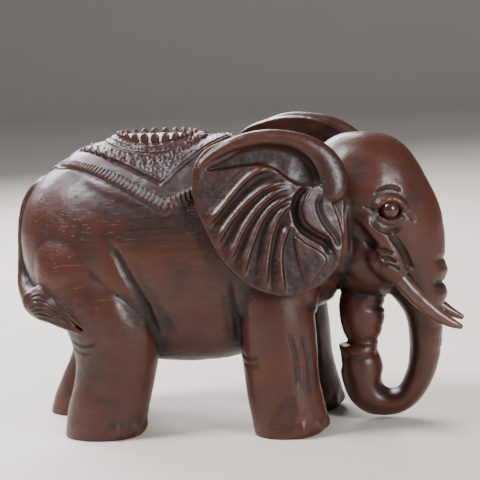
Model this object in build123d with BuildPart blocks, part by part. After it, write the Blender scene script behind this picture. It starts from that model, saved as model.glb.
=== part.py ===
"""Carved wooden elephant, standing, with its trunk curled back to its chin.

One block of hardwood carries the torso, legs, head, trunk, tail and saddle cloth. The ears,
tusks and eyes are carved apart and glued into it. Millimetres, +X to the front, +Y to the
elephant's left, +Z up, with the origin on the ground under the middle of the carving.
"""

import os
from math import cos, radians, sin

from build123d import *

# Overall sizes.
TORSO_LENGTH = 112.0
TORSO_WIDTH = 57.0
BACK_HEIGHT = 97.3
BELLY_CLEARANCE = 21.5
HEAD_REACH = 30.9  # from the torso's front end to the brow
HEAD_WIDTH = 35.6
HEAD_DEPTH = 43.6

# Legs. The setback runs from the torso's end to the middle of the sole.
LEG_SPREAD = 35.0
HIND_SOLE_LENGTH = 26.4
HIND_SOLE_WIDTH = 22.5
HIND_SETBACK = 28.0
LEFT_HIND_STEP = -13.5
FRONT_SOLE_LENGTH = 22.4
FRONT_SOLE_WIDTH = 21.5
FRONT_SETBACK = 22.2
LEFT_FRONT_STEP = 2.5

# Pieces that are glued in, and the room that the glue needs.
GLUE_GAP = 0.1
EAR_WIDTH = 48.0
EAR_HEIGHT = 52.0
EAR_THICKNESS = 3.6
EAR_ROLL = 2.4  # how far the rolled rim stands above the leaf
EAR_ROLL_WIDTH = 7.0
EAR_FLARE = 13.0  # degrees that the rear edge swings out
EAR_LEAN = 11.0  # degrees that the top leans in
EAR_UNDERCUT = 0.7  # groove round the ear's seat
EAR_TENON_RADIUS = 4.0
EAR_TENON_LENGTH = 9.0
LEFT_EAR_FORWARD = 6.0
LEFT_EAR_RISE = 2.0
TUSK_RADIUS = 2.8
TUSK_LENGTH = 27.0
TUSK_SPIGOT_LENGTH = 7.0
LEFT_TUSK_DROP = 2.4
EYE_RADIUS = 3.0
EYE_PROUD = 1.8
EYE_PIN_RADIUS = 0.9
EYE_PIN_LENGTH = 3.0

# Carved relief.
CLOTH_RELIEF = 0.7
SEAT_LENGTH = 27.0
SEAT_WIDTH = 23.0
SEAT_RISE = 2.8
SEAT_PETALS = 18
SEAT_STEP = 2.0
PETAL_RADIUS = 2.2

# Shares of the torso's length, of its half width, and of the height from belly to back.
TORSO_SECTIONS = (
    (0.000, 0.16, 0.48, 0.62),
    (0.025, 0.44, 0.36, 0.75),
    (0.075, 0.66, 0.24, 0.845),
    (0.165, 0.85, 0.125, 0.93),
    (0.290, 0.96, 0.04, 0.985),
    (0.450, 1.00, 0.00, 1.00),
    (0.610, 0.99, 0.01, 0.995),
    (0.750, 0.91, 0.07, 0.98),
    (0.880, 0.79, 0.20, 0.955),
    (1.000, 0.64, 0.36, 0.92),
)

# Share of the back's height, forward drift in soles, distance from the middle in half spreads,
# and the length and width in soles.
HIND_LEG_SECTIONS = (
    (0.000, 0.000, 1.00, 1.00, 1.00),
    (0.040, 0.025, 1.00, 1.02, 1.03),
    (0.145, 0.120, 0.99, 1.03, 1.05),
    (0.255, 0.205, 0.98, 1.05, 1.08),
    (0.380, 0.170, 0.96, 1.21, 1.16),
    (0.515, -0.070, 0.85, 1.25, 1.20),
    (0.650, -0.200, 0.70, 1.08, 1.14),
    (0.770, -0.240, 0.42, 0.66, 0.80),
)
FRONT_LEG_SECTIONS = (
    (0.000, 0.00, 1.00, 1.00, 1.00),
    (0.040, 0.04, 1.00, 1.11, 1.04),
    (0.125, -0.02, 1.00, 1.11, 1.04),
    (0.225, -0.07, 0.99, 1.10, 1.05),
    (0.370, -0.10, 0.97, 1.13, 1.08),
    (0.535, -0.08, 0.86, 1.17, 1.10),
    (0.680, -0.05, 0.73, 1.12, 1.05),
)

# Share of the head's reach behind the brow, share of the back's height, heading in degrees
# (0 is down, 90 is back, 180 is up), and half depth and half width in head depths and widths.
HEAD_SECTIONS = (
    (0.89, 0.999, 0, 0.057, 0.056),
    (0.875, 0.983, 0, 0.218, 0.225),
    (0.86, 0.935, 0, 0.349, 0.365),
    (0.84, 0.853, 0, 0.445, 0.466),
    (0.777, 0.755, 0, 0.500, 0.500),
    (0.680, 0.663, 0, 0.472, 0.461),
    (0.530, 0.576, 0, 0.372, 0.382),
    (0.390, 0.488, 0, 0.270, 0.309),
    (0.270, 0.401, 0, 0.172, 0.258),
    (0.240, 0.308, 0, 0.130, 0.225),
)
TRUNK_SECTIONS = (
    (0.256, 0.231, 6, 0.119, 0.208),
    (0.301, 0.169, 15, 0.108, 0.197),
    (0.382, 0.115, 32, 0.100, 0.188),
    (0.498, 0.074, 60, 0.094, 0.183),
    (0.644, 0.060, 86, 0.100, 0.183),
    (0.796, 0.070, 113, 0.128, 0.187),
    (0.912, 0.115, 145, 0.156, 0.195),
    (0.950, 0.190, 170, 0.163, 0.197),
    (0.958, 0.267, 180, 0.165, 0.202),
)

# Eggs under the head: shares of the reach and of the back's height, then the radius in head depths.
JAW = (0.760, 0.590, 0.380)
JAW_HEIGHT = 30.0
CHIN = (0.925, 0.385, 0.176)
CHIN_HEIGHT = 27.0

# In torso lengths, half widths and back heights from the rump end's middle, then the rope's
# half width and half depth.
TAIL_SECTIONS = (
    (0.080, 0.00, 0.860, 2.4, 2.6),
    (0.030, 0.00, 0.800, 2.6, 2.9),
    (0.009, 0.00, 0.720, 2.7, 3.0),
    (0.002, -0.01, 0.620, 2.9, 3.0),
    (0.001, -0.05, 0.530, 3.3, 3.2),
    (0.020, -0.22, 0.470, 4.2, 3.6),
    (0.068, -0.46, 0.452, 4.8, 4.0),
    (0.125, -0.68, 0.452, 4.6, 3.6),
    (0.182, -0.86, 0.424, 3.4, 2.6),
    (0.232, -0.97, 0.376, 1.0, 1.0),
)

# Outline of the cloth on each flank, in torso lengths from the rump and back heights.
CLOTH_OUTLINE = (
    (0.115, 1.06),
    (0.177, 0.918),
    (0.272, 0.854),
    (0.402, 0.800),
    (0.493, 0.739),
    (0.577, 0.843),
    (0.640, 0.960),
    (0.650, 1.06),
)
SEAT_PLACE = 0.443

# The ear's outline from its tenon, in ear widths forward and ear heights up.
EAR_OUTLINE = (
    (-0.58, 0.28),
    (-0.60, 0.08),
    (-0.53, -0.13),
    (-0.41, -0.35),
    (-0.25, -0.47),
    (-0.01, -0.53),
    (0.17, -0.49),
    (0.28, -0.40),
    (0.36, -0.24),
    (0.41, 0.06),
    (0.41, 0.19),
    (0.30, 0.33),
    (0.13, 0.42),
    (-0.06, 0.47),
    (-0.26, 0.465),
    (-0.43, 0.40),
)
EAR_PLACE = (0.180, 0.775, 0.775)  # back from the neck, out from the middle, up

# The tusk's centreline from the mouth of its socket: forward, outward and down in tusk lengths.
TUSK_PATH = ((0.0, 0.0, 0.0), (0.24, 0.03, -0.28), (0.50, 0.05, -0.50), (0.76, 0.03, -0.64))
TUSK_TAPER = (1.0, 0.96, 0.88, 0.70, 0.26)
TUSK_PLACE = (0.50, 0.385, 0.524)  # behind the brow, out in head widths, up
SHEATH_SECTIONS = ((13.0, 1.2), (9.0, 3.2), (4.5, 2.7), (0.0, 1.5), (-1.6, 1.0))  # behind the mouth, wall
EYE_PLACE = (0.560, 0.485, 0.752)

# How far up the left hind leg's step back reaches, as a share of the back's height.
HIP_HEIGHT = 0.65
OVAL_POINTS = 12

os.makedirs("parts", exist_ok=True)

rump_x = -0.65 * TORSO_LENGTH
neck_x = rump_x + TORSO_LENGTH
brow_x = neck_x + HEAD_REACH
half_width = TORSO_WIDTH / 2
torso_height = BACK_HEIGHT - BELLY_CLEARANCE
RIGHT, LEFT = -1, 1


def loft_ovals(sections):
    """Solid through a chain of ovals, each given as its plane, half width and half depth."""
    turns = [radians(360 * step / OVAL_POINTS) for step in range(OVAL_POINTS)]
    with BuildPart() as chain:
        for plane, across, deep in sections:
            with BuildSketch(plane):
                with BuildLine():
                    Spline(*[(across * cos(turn), deep * sin(turn)) for turn in turns], periodic=True)
                make_face()
        loft()
    return chain.part


def barrel(grow=0.0):
    """Barrel of the body, along X from the rump to the neck, swollen by grow."""
    sections = []
    for along, wide, low, high in TORSO_SECTIONS:
        z_low = BELLY_CLEARANCE + low * torso_height
        z_high = BELLY_CLEARANCE + high * torso_height
        centre = (rump_x + along * TORSO_LENGTH, 0, (z_low + z_high) / 2)
        plane = Plane(origin=centre, x_dir=(0, 1, 0), z_dir=(1, 0, 0))
        sections.append((plane, wide * half_width + grow, (z_high - z_low) / 2 + grow))
    return loft_ovals(sections)


def leg(x, side, step, sections, length, width):
    """One column of a leg, upward from its flat sole. A step moves the sole but not the hip."""
    ovals = []
    for up, forward, outward, long_share, wide_share in sections:
        stepped = x + forward * length + step * max(0, 1 - up / HIP_HEIGHT)
        centre = (stepped, side * outward * LEG_SPREAD / 2, up * BACK_HEIGHT)
        ovals.append((Plane(origin=centre), long_share * length / 2, wide_share * width / 2))
    return loft_ovals(ovals)


def head_and_trunk():
    """Crown, face and trunk in one chain of ovals, down and round to the trunk's tip."""
    ovals = []
    for back, up, heading, deep, wide in HEAD_SECTIONS + TRUNK_SECTIONS:
        turn = radians(heading)
        centre = (brow_x - back * HEAD_REACH, 0, up * BACK_HEIGHT)
        plane = Plane(origin=centre, x_dir=(0, 1, 0), z_dir=(-sin(turn), 0, -cos(turn)))
        ovals.append((plane, wide * HEAD_WIDTH, deep * HEAD_DEPTH))
    return loft_ovals(ovals)


def egg(place, height):
    """Egg on the middle plane, round about its own upright axis."""
    behind, up, deep = place
    x, z = brow_x - behind * HEAD_REACH, up * BACK_HEIGHT
    with BuildPart() as turned:
        with BuildSketch(Plane(origin=(x, 0, z), x_dir=(1, 0, 0), z_dir=(0, -1, 0))):
            with BuildLine():
                EllipticalCenterArc((0, 0), deep * HEAD_DEPTH, height / 2, start_angle=-90, arc_size=180)
                Line((0, height / 2), (0, -height / 2))
            make_face()
        revolve(axis=Axis((x, 0, z), (0, 0, 1)))
    return turned.part


def tail():
    """Tail down the rump, with its tuft swept round the right thigh."""
    points = [
        Vector(rump_x + ahead * TORSO_LENGTH, out * half_width, up * BACK_HEIGHT)
        for ahead, out, up, _, _ in TAIL_SECTIONS
    ]
    with BuildLine():
        path = Spline(*points)
    middle = Vector(rump_x + TORSO_LENGTH / 3, 0, BACK_HEIGHT / 2)
    ovals = []
    for point, (_, _, _, across, deep) in zip(points, TAIL_SECTIONS):
        heading = path % path.param_at_point(point)
        ovals.append((Plane(origin=point, x_dir=heading.cross(point - middle), z_dir=heading), across, deep))
    return loft_ovals(ovals)


def ear_plane(side):
    """Plane of an ear's inner face: x to the front, y up and z outward, from the tenon's centre."""
    back, out, up = EAR_PLACE
    forward = LEFT_EAR_FORWARD if side == LEFT else 0
    rise = LEFT_EAR_RISE if side == LEFT else 0
    hub = Vector(neck_x - back * TORSO_LENGTH + forward, side * out * half_width, up * BACK_HEIGHT + rise)
    flare, lean = radians(EAR_FLARE), radians(EAR_LEAN)
    ahead = Vector(cos(flare), -side * sin(flare), 0)
    out_of_face = Vector(sin(flare) * cos(lean), side * cos(flare) * cos(lean), sin(lean))
    return Plane(origin=hub, x_dir=ahead, z_dir=out_of_face)


def ear_outline(side, inset=0.0):
    """Points of an ear's edge in its own plane, drawn in towards the tenon by inset.

    The plane's y runs up on the right ear and down on the left one.
    """
    points = [Vector(ahead * EAR_WIDTH, -side * up * EAR_HEIGHT) for ahead, up in EAR_OUTLINE]
    return [point - point.normalized() * inset for point in points]


def ear(side):
    """Leaf with a rolled rim along its top and front, and a round tenon on its inner face."""
    face = ear_plane(side)
    with BuildPart() as leaf:
        with BuildSketch(face):
            with BuildLine():
                Spline(*ear_outline(side), periodic=True)
            make_face()
        extrude(amount=EAR_THICKNESS)
        with BuildSketch(face.offset(EAR_THICKNESS)):
            with BuildLine():
                Spline(*ear_outline(side), periodic=True)
            make_face()
            with BuildLine():
                Spline(*ear_outline(side, inset=EAR_ROLL_WIDTH), periodic=True)
            make_face(mode=Mode.SUBTRACT)
            with Locations((-EAR_WIDTH / 3, side * EAR_HEIGHT / 2)):
                Rectangle(EAR_WIDTH, 1.4 * EAR_HEIGHT, mode=Mode.SUBTRACT)
        extrude(amount=EAR_ROLL)
        with BuildSketch(face):
            Circle(EAR_TENON_RADIUS)
        extrude(amount=-EAR_TENON_LENGTH)
    return leaf.part


def ear_room(side):
    """Flat seat for an ear, with a groove round it, and the mortise for its tenon."""
    face = ear_plane(side)
    with BuildPart() as room:
        with BuildSketch(face.offset(-GLUE_GAP)):
            with BuildLine():
                Spline(*ear_outline(side, inset=-EAR_UNDERCUT), periodic=True)
            make_face()
        extrude(amount=half_width)
        with BuildSketch(face):
            Circle(EAR_TENON_RADIUS + GLUE_GAP)
        extrude(amount=-EAR_TENON_LENGTH - GLUE_GAP)
    return room.part


def tusk_path(side):
    """Centreline of a tusk, from the mouth of its socket to its tip."""
    behind, out, up = TUSK_PLACE
    drop = LEFT_TUSK_DROP if side == LEFT else 0
    mouth = Vector(brow_x - behind * HEAD_REACH, side * out * HEAD_WIDTH, up * BACK_HEIGHT - drop)
    with BuildLine():
        path = Spline(*[mouth + Vector(a, side * o, d) * TUSK_LENGTH for a, o, d in TUSK_PATH])
    return path


def tusk(side, gap=0.0):
    """Curved tapering peg, with a straight round spigot behind it, swollen by a gap."""
    path = tusk_path(side)
    last = len(TUSK_TAPER) - 1
    with BuildPart() as peg:
        for step, share in enumerate(TUSK_TAPER):
            along = step / last
            with BuildSketch(Plane(origin=path @ along, x_dir=(0, 1, 0), z_dir=path % along)):
                Circle(share * TUSK_RADIUS + gap)
        loft()
        with BuildSketch(Plane(origin=path @ 0, x_dir=(0, 1, 0), z_dir=path % 0)):
            Circle(TUSK_RADIUS + gap)
        extrude(amount=-TUSK_SPIGOT_LENGTH - gap)
    return peg.part


def tusk_sheath(side):
    """Swelling of the cheek that the tusk stands in, narrowing to a lip at the socket's mouth."""
    path = tusk_path(side)
    heading = path % 0
    ovals = []
    for behind, wall in SHEATH_SECTIONS:
        plane = Plane(origin=path @ 0 - heading * behind, x_dir=(0, 1, 0), z_dir=heading)
        ovals.append((plane, TUSK_RADIUS + wall, TUSK_RADIUS + wall))
    return loft_ovals(ovals)


def eye_plane(side):
    """Plane through an eye's centre, looking outward."""
    behind, out, up = EYE_PLACE
    sunk = EYE_RADIUS - EYE_PROUD
    centre = (brow_x - behind * HEAD_REACH, side * (out * HEAD_WIDTH - sunk), up * BACK_HEIGHT)
    return Plane(origin=centre, x_dir=(0, 0, 1), z_dir=(0, side, 0))


def eye(side, gap=0.0):
    """Round bead with a pin behind it, or with a gap, the room that both need."""
    with BuildPart(eye_plane(side)) as bead:
        Sphere(EYE_RADIUS + gap)
        with BuildSketch(eye_plane(side)):
            Circle(EYE_PIN_RADIUS + gap)
        extrude(amount=-EYE_RADIUS - EYE_PIN_LENGTH - gap)
    return bead.part


def seat():
    """Oval pad on the back, on a stepped base and ringed by upright petals."""
    middle = rump_x + SEAT_PLACE * TORSO_LENGTH
    foot = Plane(origin=(middle, 0, BACK_HEIGHT - SEAT_WIDTH / 3))
    depth = SEAT_WIDTH / 3
    with BuildPart() as pad:
        with BuildSketch(foot):
            Ellipse(SEAT_LENGTH / 2 + SEAT_STEP, SEAT_WIDTH / 2 + SEAT_STEP)
        extrude(amount=depth + SEAT_RISE / 5)
        with BuildSketch(foot):
            Ellipse(SEAT_LENGTH / 2 - PETAL_RADIUS, SEAT_WIDTH / 2 - PETAL_RADIUS)
        extrude(amount=depth + 0.7 * SEAT_RISE)
        with BuildSketch(foot):
            for petal in range(SEAT_PETALS):
                turn = radians(360 * petal / SEAT_PETALS)
                long_radius = SEAT_LENGTH / 2 - PETAL_RADIUS
                wide_radius = SEAT_WIDTH / 2 - PETAL_RADIUS
                with Locations((long_radius * cos(turn), wide_radius * sin(turn))):
                    Circle(PETAL_RADIUS)
        extrude(amount=depth + SEAT_RISE)
    return pad.part


hind_x = rump_x + HIND_SETBACK
front_x = neck_x - FRONT_SETBACK
carved_masses = [
    leg(hind_x, RIGHT, 0, HIND_LEG_SECTIONS, HIND_SOLE_LENGTH, HIND_SOLE_WIDTH),
    leg(hind_x, LEFT, LEFT_HIND_STEP, HIND_LEG_SECTIONS, HIND_SOLE_LENGTH, HIND_SOLE_WIDTH),
    leg(front_x, RIGHT, 0, FRONT_LEG_SECTIONS, FRONT_SOLE_LENGTH, FRONT_SOLE_WIDTH),
    leg(front_x, LEFT, LEFT_FRONT_STEP, FRONT_LEG_SECTIONS, FRONT_SOLE_LENGTH, FRONT_SOLE_WIDTH),
    head_and_trunk(),
    egg(JAW, JAW_HEIGHT),
    egg(CHIN, CHIN_HEIGHT),
    tail(),
]
bare_barrel = barrel()
swollen_barrel = barrel(grow=CLOTH_RELIEF)


with BuildPart() as saddle_cloth:
    add(swollen_barrel)
    with BuildSketch(Plane.XZ):
        with BuildLine():
            Polyline(*[(rump_x + a * TORSO_LENGTH, u * BACK_HEIGHT) for a, u in CLOTH_OUTLINE], close=True)
        make_face()
    extrude(amount=TORSO_WIDTH, both=True, mode=Mode.INTERSECT)

with BuildPart() as carved_body:
    add(bare_barrel)
    for mass in carved_masses + [tusk_sheath(RIGHT), tusk_sheath(LEFT), seat()]:
        add(mass)
    add(saddle_cloth.part)
    for side in (RIGHT, LEFT):
        add(ear_room(side), mode=Mode.SUBTRACT)
        add(tusk(side, gap=GLUE_GAP), mode=Mode.SUBTRACT)
        add(eye(side, gap=GLUE_GAP), mode=Mode.SUBTRACT)

pieces = {"carved_body": carved_body.part}
for side, name in ((RIGHT, "right"), (LEFT, "left")):
    pieces["ear_" + name] = ear(side)
    pieces["tusk_" + name] = tusk(side)
    pieces["eye_" + name] = eye(side)

boxes = [piece.bounding_box() for piece in pieces.values()]
middle_x = (min(box.min.X for box in boxes) + max(box.max.X for box in boxes)) / 2
middle_y = (min(box.min.Y for box in boxes) + max(box.max.Y for box in boxes)) / 2
to_middle = Location((-middle_x, -middle_y, 0))
for name, piece in pieces.items():
    placed = piece.moved(to_middle)
    placed.label = name
    print(name, round(placed.volume), "mm3")
    export_step(placed, f"parts/{name}.step")
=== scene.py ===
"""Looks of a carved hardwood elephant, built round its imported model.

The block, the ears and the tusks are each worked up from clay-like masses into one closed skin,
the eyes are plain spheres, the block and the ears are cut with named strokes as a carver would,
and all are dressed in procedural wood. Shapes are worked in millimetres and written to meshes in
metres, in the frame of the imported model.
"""

from __future__ import annotations

import logging
import math
from dataclasses import dataclass
from enum import Enum
from typing import Any, Iterable, Sequence

import bmesh
import bpy
import numpy as np
from mathutils import Matrix, Vector, noise

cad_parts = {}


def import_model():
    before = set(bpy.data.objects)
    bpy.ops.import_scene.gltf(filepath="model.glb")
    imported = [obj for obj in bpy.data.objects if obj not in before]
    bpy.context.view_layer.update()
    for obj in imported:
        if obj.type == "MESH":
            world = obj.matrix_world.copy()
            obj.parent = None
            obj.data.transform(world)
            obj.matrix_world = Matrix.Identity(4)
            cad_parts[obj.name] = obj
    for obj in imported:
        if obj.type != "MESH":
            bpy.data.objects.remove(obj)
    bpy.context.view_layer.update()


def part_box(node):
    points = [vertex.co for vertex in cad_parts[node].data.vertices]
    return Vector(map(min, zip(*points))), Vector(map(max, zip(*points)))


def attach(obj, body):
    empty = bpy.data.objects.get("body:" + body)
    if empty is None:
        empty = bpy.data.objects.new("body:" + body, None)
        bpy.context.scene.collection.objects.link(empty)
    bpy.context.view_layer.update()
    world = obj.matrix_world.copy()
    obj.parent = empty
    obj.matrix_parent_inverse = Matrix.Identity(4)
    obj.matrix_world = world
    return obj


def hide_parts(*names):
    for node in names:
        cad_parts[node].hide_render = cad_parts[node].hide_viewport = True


LOG = logging.getLogger("elephant")
MM = 0.001
DRAWN_EYE_X = 53.59  # middle of the eye on the drawing, in millimetres
Flat = Sequence[tuple[float, float]]
Colour = tuple[float, float, float]


class Side(Enum):
    """A side of the elephant, as the sign of its Y."""

    RIGHT = -1
    LEFT = 1


class View(Enum):
    """Where a stroke is drawn from: the two axes of its plane and the way out of the wood."""

    RIGHT = ((0, 2), (0.0, -1.0, 0.0))
    LEFT = ((0, 2), (0.0, 1.0, 0.0))
    FRONT = ((1, 2), (1.0, 0.0, 0.0))
    BACK = ((1, 2), (-1.0, 0.0, 0.0))
    TOP = ((0, 1), (0.0, 0.0, 1.0))
    GIRTH = ((0, 1), (0.0, 0.0, 0.0))


SIDE_VIEWS = {Side.RIGHT: View.RIGHT, Side.LEFT: View.LEFT}


class Edge(Enum):
    """Cross-section of a stroke: a pleat is steep on the line's left."""

    ROUND = "round"
    VEE = "vee"
    PLEAT = "pleat"


def drift() -> float:
    """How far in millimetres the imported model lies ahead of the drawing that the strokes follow."""
    low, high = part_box("eye_right")
    return (low.x + high.x) / 2 / MM - DRAWN_EYE_X


def smooth_step(low: float, high: float, values: np.ndarray) -> np.ndarray:
    """Ramp from 0 at low to 1 at high, with soft ends."""
    share = np.clip((values - low) / (high - low), 0.0, 1.0)
    return share * share * (3.0 - 2.0 * share)


def smooth_line(points: Sequence[Sequence[float]], steps: int = 8, closed: bool = False) -> np.ndarray:
    """Curve through a few given points.

    Args:
        points: Points of any dimension, in order.
        steps: How many short runs each span is cut into.
        closed: Whether the curve returns to its first point.

    Returns:
        The curve's points, one row each.
    """
    given = np.array(points, float)
    if closed:
        padded = np.vstack([given[-1], given, given[:2]])
    else:
        padded = np.vstack([2 * given[0] - given[1], given, 2 * given[-1] - given[-2]])
    shares = np.linspace(0.0, 1.0, steps, endpoint=False)[:, None]
    spans = []
    for before, start, end, after in zip(padded, padded[1:], padded[2:], padded[3:]):
        pull = 2 * before - 5 * start + 4 * end - after
        twist = 3 * start - before - 3 * end + after
        spans.append(0.5 * (2 * start + (end - before) * shares + pull * shares**2 + twist * shares**3))
    curve = np.vstack(spans)
    return curve if closed else np.vstack([curve, given[-1]])


@dataclass(frozen=True)
class Stroke:
    """One pass of a tool: a positive height raises the wood and a negative one cuts it.

    Widths and heights are in millimetres, and fade is the share of the line that dies out at
    each end.
    """

    line: Flat
    width: float
    height: float
    edge: Edge = Edge.ROUND
    fade: float = 0.2


@dataclass(frozen=True)
class Patch:
    """A flat area, raised or sunk by height, with a border that is soft over a width."""

    outline: Flat
    height: float
    soft: float = 0.5


@dataclass(frozen=True)
class Dab:
    """A soft swelling or hollow about a point in the wood."""

    centre: tuple[float, float, float]
    radii: tuple[float, float, float]
    height: float


@dataclass(frozen=True)
class Oval:
    """One section of a chain: centre, heading, the way its depth points, and two half widths."""

    centre: tuple[float, float, float]
    heading: tuple[float, float, float]
    depth_way: tuple[float, float, float]
    across: float
    deep: float


class Clay:
    """Masses in millimetres, gathered in one bmesh and then drawn together under one skin."""

    def __init__(self) -> None:
        """Starts with nothing."""
        self.bm = bmesh.new()

    def node(self, name: str) -> None:
        """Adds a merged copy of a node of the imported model.

        Args:
            name: The node's name.
        """
        copy = bmesh.new()
        copy.from_mesh(bpy.data.objects[name].data)
        bmesh.ops.remove_doubles(copy, verts=copy.verts, dist=1e-6)
        bmesh.ops.scale(copy, vec=(1 / MM, 1 / MM, 1 / MM), verts=copy.verts)
        bmesh.ops.translate(copy, vec=(-drift(), 0.0, 0.0), verts=copy.verts)
        held = bpy.data.meshes.new("held")
        copy.to_mesh(held)
        copy.free()
        self.bm.from_mesh(held)
        bpy.data.meshes.remove(held)

    def ball(
        self, centre: Sequence[float], radii: Sequence[float], tilt: float = 0.0, turn: float = 0.0
    ) -> None:
        """Adds an egg, tilted about Y and then turned about Z.

        Args:
            centre: Its middle.
            radii: Its half sizes along X, Y and Z before it is turned.
            tilt: Degrees that its top leans towards the front.
            turn: Degrees that it is then turned by.
        """
        lean = Matrix.Rotation(math.radians(turn), 4, "Z") @ Matrix.Rotation(math.radians(tilt), 4, "Y")
        place = Matrix.Translation(centre) @ lean
        shape = place @ Matrix.Diagonal((*radii, 1.0))
        bmesh.ops.create_icosphere(self.bm, subdivisions=4, radius=1.0, matrix=shape)

    def chain(self, ovals: Iterable[Oval], segments: int = 28) -> None:
        """Adds a closed skin through a chain of ovals.

        Args:
            ovals: The sections, in order.
            segments: How many edges go round each section.
        """
        rings = []
        for oval in ovals:
            ahead = Vector(oval.heading).normalized()
            out = Vector(oval.depth_way)
            out = (out - out.project(ahead)).normalized()
            frame = Matrix((out.cross(ahead), out, ahead)).transposed().to_4x4()
            place = Matrix.Translation(oval.centre) @ frame @ Matrix.Diagonal(
                (oval.across, oval.deep, 1.0, 1.0)
            )
            made = bmesh.ops.create_circle(self.bm, segments=segments, radius=1.0, matrix=place)
            rings.append(list({edge for vert in made["verts"] for edge in vert.link_edges}))
        for near, far in zip(rings, rings[1:]):
            bmesh.ops.bridge_loops(self.bm, edges=near + far)
        bmesh.ops.holes_fill(self.bm, edges=rings[0] + rings[-1], sides=0)

    def plate(self, outline: Flat, low: float, high: float, slope: tuple[float, float] = (0.0, 0.0)) -> None:
        """Adds a flat plate in the XY plane.

        Args:
            outline: Its edge, as a smooth closed curve through these points.
            low: Height of its underside.
            high: Height of its top over the middle of the outline.
            slope: Rise of the top for each millimetre along X and along Y.
        """
        edge = smooth_line(outline, closed=True)
        middle = edge.mean(axis=0)
        corners = [self.bm.verts.new((x, y, low)) for x, y in edge]
        floor = bmesh.ops.contextual_create(self.bm, geom=corners)["faces"]
        lifted = bmesh.ops.extrude_face_region(self.bm, geom=floor, use_keep_orig=True)["geom"]
        for vert in (item for item in lifted if isinstance(item, bmesh.types.BMVert)):
            lean = slope[0] * (vert.co.x - middle[0]) + slope[1] * (vert.co.y - middle[1])
            vert.co.z = high + lean

    def skin(self, name: str, voxel: float, soften: int) -> bpy.types.Mesh:
        """Draws the masses together under one closed skin.

        Args:
            name: Name of the mesh.
            voxel: Size of the skin's cells in millimetres.
            soften: How many rounds of smoothing follow.

        Returns:
            The skin, in metres.
        """
        bmesh.ops.recalc_face_normals(self.bm, faces=self.bm.faces)
        bmesh.ops.scale(self.bm, vec=(MM, MM, MM), verts=self.bm.verts)
        rough = bpy.data.meshes.new(name + "_masses")
        self.bm.to_mesh(rough)
        self.bm.free()
        carrier = bpy.data.objects.new(name + "_masses", rough)
        bpy.context.scene.collection.objects.link(carrier)
        remesh = carrier.modifiers.new("skin", "REMESH")
        remesh.mode = "VOXEL"
        remesh.voxel_size = voxel * MM
        relax = carrier.modifiers.new("soften", "SMOOTH")
        relax.factor = 0.5
        relax.iterations = soften
        seen = carrier.evaluated_get(bpy.context.evaluated_depsgraph_get())
        skin = bpy.data.meshes.new_from_object(seen)
        skin.name = name
        bpy.data.objects.remove(carrier)
        bpy.data.meshes.remove(rough)
        return skin


class Neighbours:
    """Which points of a mesh are joined by an edge."""

    def __init__(self, mesh: bpy.types.Mesh) -> None:
        """Reads a mesh's edges."""
        pairs = np.empty(len(mesh.edges) * 2, np.int64)
        mesh.edges.foreach_get("vertices", pairs)
        pairs = pairs.reshape(-1, 2)
        self.sources = np.concatenate([pairs[:, 0], pairs[:, 1]])
        self.targets = np.concatenate([pairs[:, 1], pairs[:, 0]])
        self.count = len(mesh.vertices)
        self.degree = np.maximum(np.bincount(self.targets, minlength=self.count), 1)

    def mean(self, values: np.ndarray) -> np.ndarray:
        """Mean of a number over each point's neighbours."""
        return np.bincount(self.targets, weights=values[self.sources], minlength=self.count) / self.degree

    def middle(self, points: np.ndarray) -> np.ndarray:
        """Middle of each point's neighbours."""
        return np.column_stack([self.mean(points[:, axis]) for axis in range(3)])


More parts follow.
